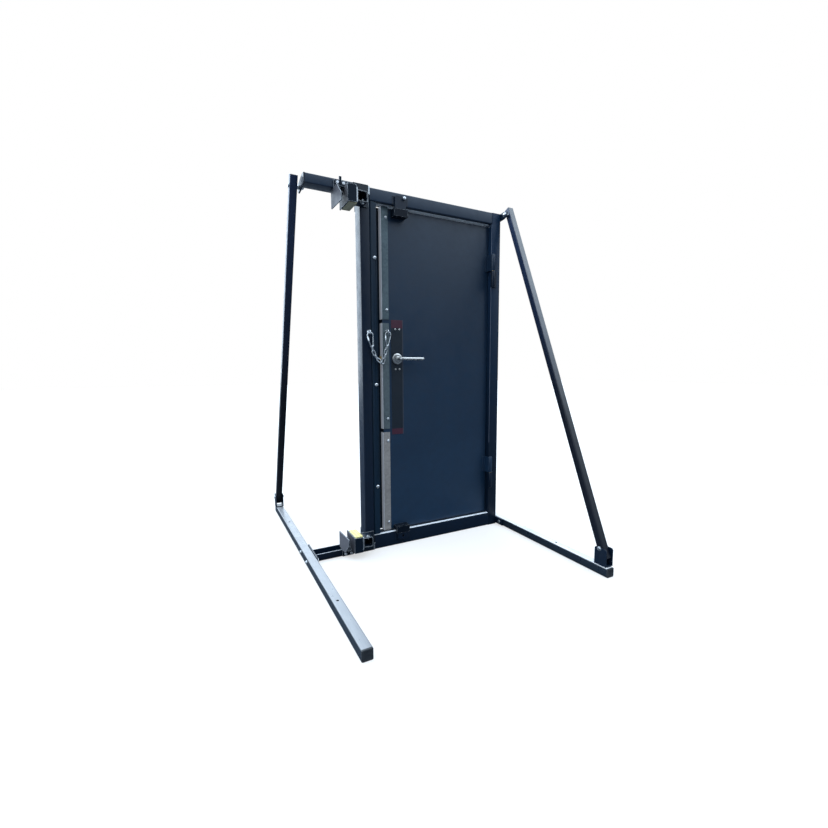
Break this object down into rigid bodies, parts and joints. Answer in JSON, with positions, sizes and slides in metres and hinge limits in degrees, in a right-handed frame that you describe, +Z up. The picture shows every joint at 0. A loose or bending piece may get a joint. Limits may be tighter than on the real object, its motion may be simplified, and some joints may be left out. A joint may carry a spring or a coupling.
{
  "type": "forcible-entry training door",
  "caption": "Free-standing steel training door: hinged leaf in a tube frame, sliding latch post that crushes wood blocks, safety chain, leaning braces on ground beams.",
  "frame": {"origin": "middle of the footprint on the floor, under the door", "axes": "+X towards the hinge side, +Y away from the side the leaf opens to, +Z up"},
  "size_m": [1.471, 1.978, 2.1855],
  "materials": {
    "blue_powder": "dark blue semi-gloss powder coat",
    "dark_steel": "darker satin paint",
    "galvanised": "dull galvanised sheet steel",
    "zinc_plated": "bright zinc plate",
    "stainless": "satin stainless steel",
    "softwood": "raw sawn softwood",
    "brass_parts": "plain brass",
    "cap_plastic": "black moulded plastic"
  },
  "bodies": {
    "frame": {"ground_beams": "blue_powder", "beam_caps": "cap_plastic", "foot_brackets": "blue_powder", "braces": "blue_powder", "brace_bolts": "zinc_plated", "brace_spacers": "zinc_plated", "brace_ears": "blue_powder", "header": "blue_powder", "sill": "blue_powder", "hinge_jamb": "blue_powder", "header_rail": "blue_powder", "sill_rail": "blue_powder", "rail_flanges": "zinc_plated", "beam_flanges": "blue_powder", "flange_bolts": "zinc_plated", "stop_brackets": "blue_powder", "bracket_bolts": "zinc_plated", "wood_block_top": "softwood", "wood_block_bottom": "softwood", "hinge_jamb_halves": "blue_powder", "hinge_pins": "zinc_plated", "hinge_washers": "brass_parts", "stop_pads": "blue_powder"},
    "post": {"latch_post": "blue_powder", "post_stop_bar": "blue_powder", "post_bolts": "zinc_plated", "slider_cheeks": "blue_powder", "pusher_tubes": "blue_powder", "push_plates": "zinc_plated", "pusher_bolts": "zinc_plated", "chain_eye_post": "zinc_plated", "snap_post": "zinc_plated", "chain_links_post": "zinc_plated"},
    "gate_post": {"snap_gate_post": "zinc_plated"},
    "leaf": {"leaf_frame": "dark_steel", "leaf_skins": "blue_powder", "edge_strips": "galvanised", "strip_bolts": "zinc_plated", "lock_plate": "dark_steel", "lock_screws": "stainless", "lock_case": "galvanised", "rose": "stainless", "hinge_leaf_halves": "blue_powder", "stop_housings": "blue_powder", "chain_eye_leaf": "zinc_plated", "snap_leaf": "zinc_plated", "chain_links_leaf": "zinc_plated"},
    "gate_leaf": {"snap_gate_leaf": "zinc_plated"},
    "handle": {"lever": "stainless", "spindle": "galvanised"},
    "latch": {"latch_bolt": "brass_parts"},
    "tongue_top": {"stop_tongue_top": "blue_powder", "stop_knob_top": "zinc_plated"},
    "tongue_bottom": {"stop_tongue_bottom": "blue_powder"}
  },
  "joints": [
    {"name": "leaf_swing", "type": "hinge", "parent": "frame", "child": "leaf", "pos_m": [0.591, -0.078, 1.075], "axis": [0, 0, 1], "range_deg": [0, 95]},
    {"name": "post_slide", "type": "slide", "parent": "frame", "child": "post", "axis": [-1, 0, 0], "range_m": [0, 0.025], "deforming": ["wood_block_top", "wood_block_bottom"]},
    {"name": "gate_post_turn", "type": "hinge", "parent": "post", "child": "gate_post", "pos_m": [-0.28334, -0.081, 1.25458], "axis": [0, -1, 0], "range_deg": [0, 25]},
    {"name": "gate_leaf_turn", "type": "hinge", "parent": "leaf", "child": "gate_leaf", "pos_m": [-0.17061, -0.048, 1.26229], "axis": [0, -1, 0], "range_deg": [0, 25]},
    {"name": "lever_turn", "type": "hinge", "parent": "leaf", "child": "handle", "pos_m": [-0.103, -0.064, 1.181], "axis": [0, 1, 0], "range_deg": [0, 40]},
    {"name": "latch_slide", "type": "slide", "parent": "leaf", "child": "latch", "axis": [1, 0, 0], "range_m": [0, 0.013]},
    {"name": "stop_top_slide", "type": "slide", "parent": "leaf", "child": "tongue_top", "axis": [0, 0, -1], "range_m": [0, 0.05]},
    {"name": "stop_bottom_slide", "type": "slide", "parent": "leaf", "child": "tongue_bottom", "axis": [0, 0, 1], "range_m": [0, 0.045]}
  ],
  "couplings": [
    {"joint": "latch_slide", "follows": "lever_turn", "m_per_rad": 0.0172}
  ]
}
